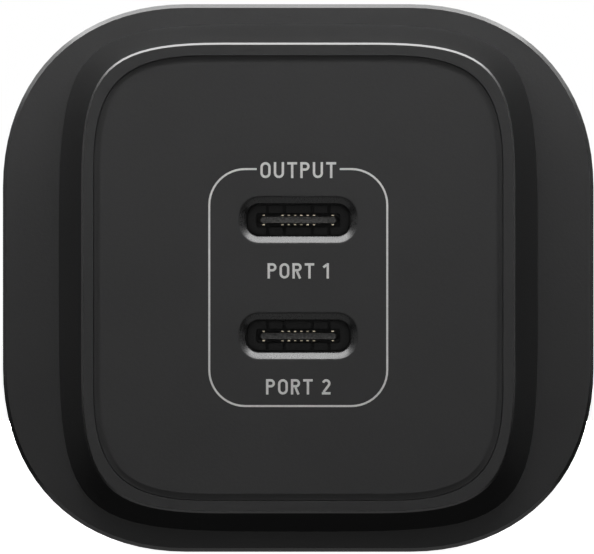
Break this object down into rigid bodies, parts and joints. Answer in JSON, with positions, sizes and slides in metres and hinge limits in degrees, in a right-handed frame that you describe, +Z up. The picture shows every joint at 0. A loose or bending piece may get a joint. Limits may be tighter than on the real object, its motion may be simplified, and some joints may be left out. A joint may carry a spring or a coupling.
{
  "type": "usb wall charger",
  "caption": "Wall charger with a three-pin plug on a rounded shoulder, a tapered neck and an inset panel with bevelled ports.",
  "frame": {"origin": "centre of the wall face, where the shoulder meets the wall", "axes": "+Z up, +Y out of the wall face along the pins, +X to the right seen from the port side"},
  "size_m": [0.048, 0.0647, 0.0446],
  "materials": {
    "casing_plastic": "charcoal, finely textured moulding",
    "cover_plastic": "charcoal, finely textured moulding",
    "panel_plastic": "charcoal, fine matte moulding with light grey print",
    "earth_plastic": "black glass-filled nylon",
    "pin_nickel": "nickel-plated brass, brushed",
    "sleeve_plastic": "black insulating sleeve",
    "carrier_plastic": "natural nylon",
    "screw_steel": "zinc-plated steel",
    "contact_brass": "bare brass strip",
    "board_laminate": "green glass-fibre board",
    "ferrite": "sintered ferrite",
    "bobbin_plastic": "phenolic",
    "winding_copper": "enamelled copper wire",
    "winding_tape": "polyester tape",
    "pad_rubber": "silicone thermal pad",
    "spreader_aluminium": "plain sheet",
    "capacitor_can": "aluminium can in a dark sleeve",
    "film_yellow": "film capacitor box",
    "disc_blue": "dipped ceramic disc",
    "fuse_glass": "glass tube with metal caps",
    "chip_epoxy": "moulded epoxy package",
    "inductor_grey": "pressed powder inductor",
    "sheet_paper": "insulating paper",
    "shell_steel": "dark-nickel stainless steel",
    "insert_plastic": "black liquid-crystal polymer",
    "contact_gold": "gold-plated copper"
  },
  "bodies": {
    "root": {"housing": "casing_plastic", "rear_cover": "cover_plastic", "front_panel": "panel_plastic", "line_pin": "pin_nickel", "neutral_pin": "pin_nickel", "line_pin_sleeve": "sleeve_plastic", "neutral_pin_sleeve": "sleeve_plastic", "earth_pin": "earth_plastic", "pin_carrier": "carrier_plastic", "carrier_screws": "screw_steel", "line_contact": "contact_brass", "neutral_contact": "contact_brass", "main_board": "board_laminate", "port_board": "board_laminate", "board_link_pins": "contact_gold", "port_board_screws": "screw_steel", "transformer_core": "ferrite", "transformer_bobbin": "bobbin_plastic", "transformer_winding": "winding_copper", "transformer_tape": "winding_tape", "thermal_pad": "pad_rubber", "heat_spreader": "spreader_aluminium", "bulk_capacitor_front": "capacitor_can", "bulk_capacitor_rear": "capacitor_can", "output_capacitors": "capacitor_can", "choke_core": "ferrite", "choke_windings": "winding_copper", "suppression_capacitor": "film_yellow", "bridging_capacitor": "disc_blue", "fuse": "fuse_glass", "bridge_rectifier": "chip_epoxy", "power_switch": "chip_epoxy", "rectifier_switch": "chip_epoxy", "primary_controller": "chip_epoxy", "optocoupler": "chip_epoxy", "charge_controllers": "chip_epoxy", "buck_inductors": "inductor_grey", "insulation_sheet": "sheet_paper", "port_shell_upper": "shell_steel", "port_insert_upper": "insert_plastic", "port_plate_upper": "shell_steel", "port_contacts_upper": "contact_gold", "port_shell_lower": "shell_steel", "port_insert_lower": "insert_plastic", "port_plate_lower": "shell_steel", "port_contacts_lower": "contact_gold"}
  },
  "joints": []
}
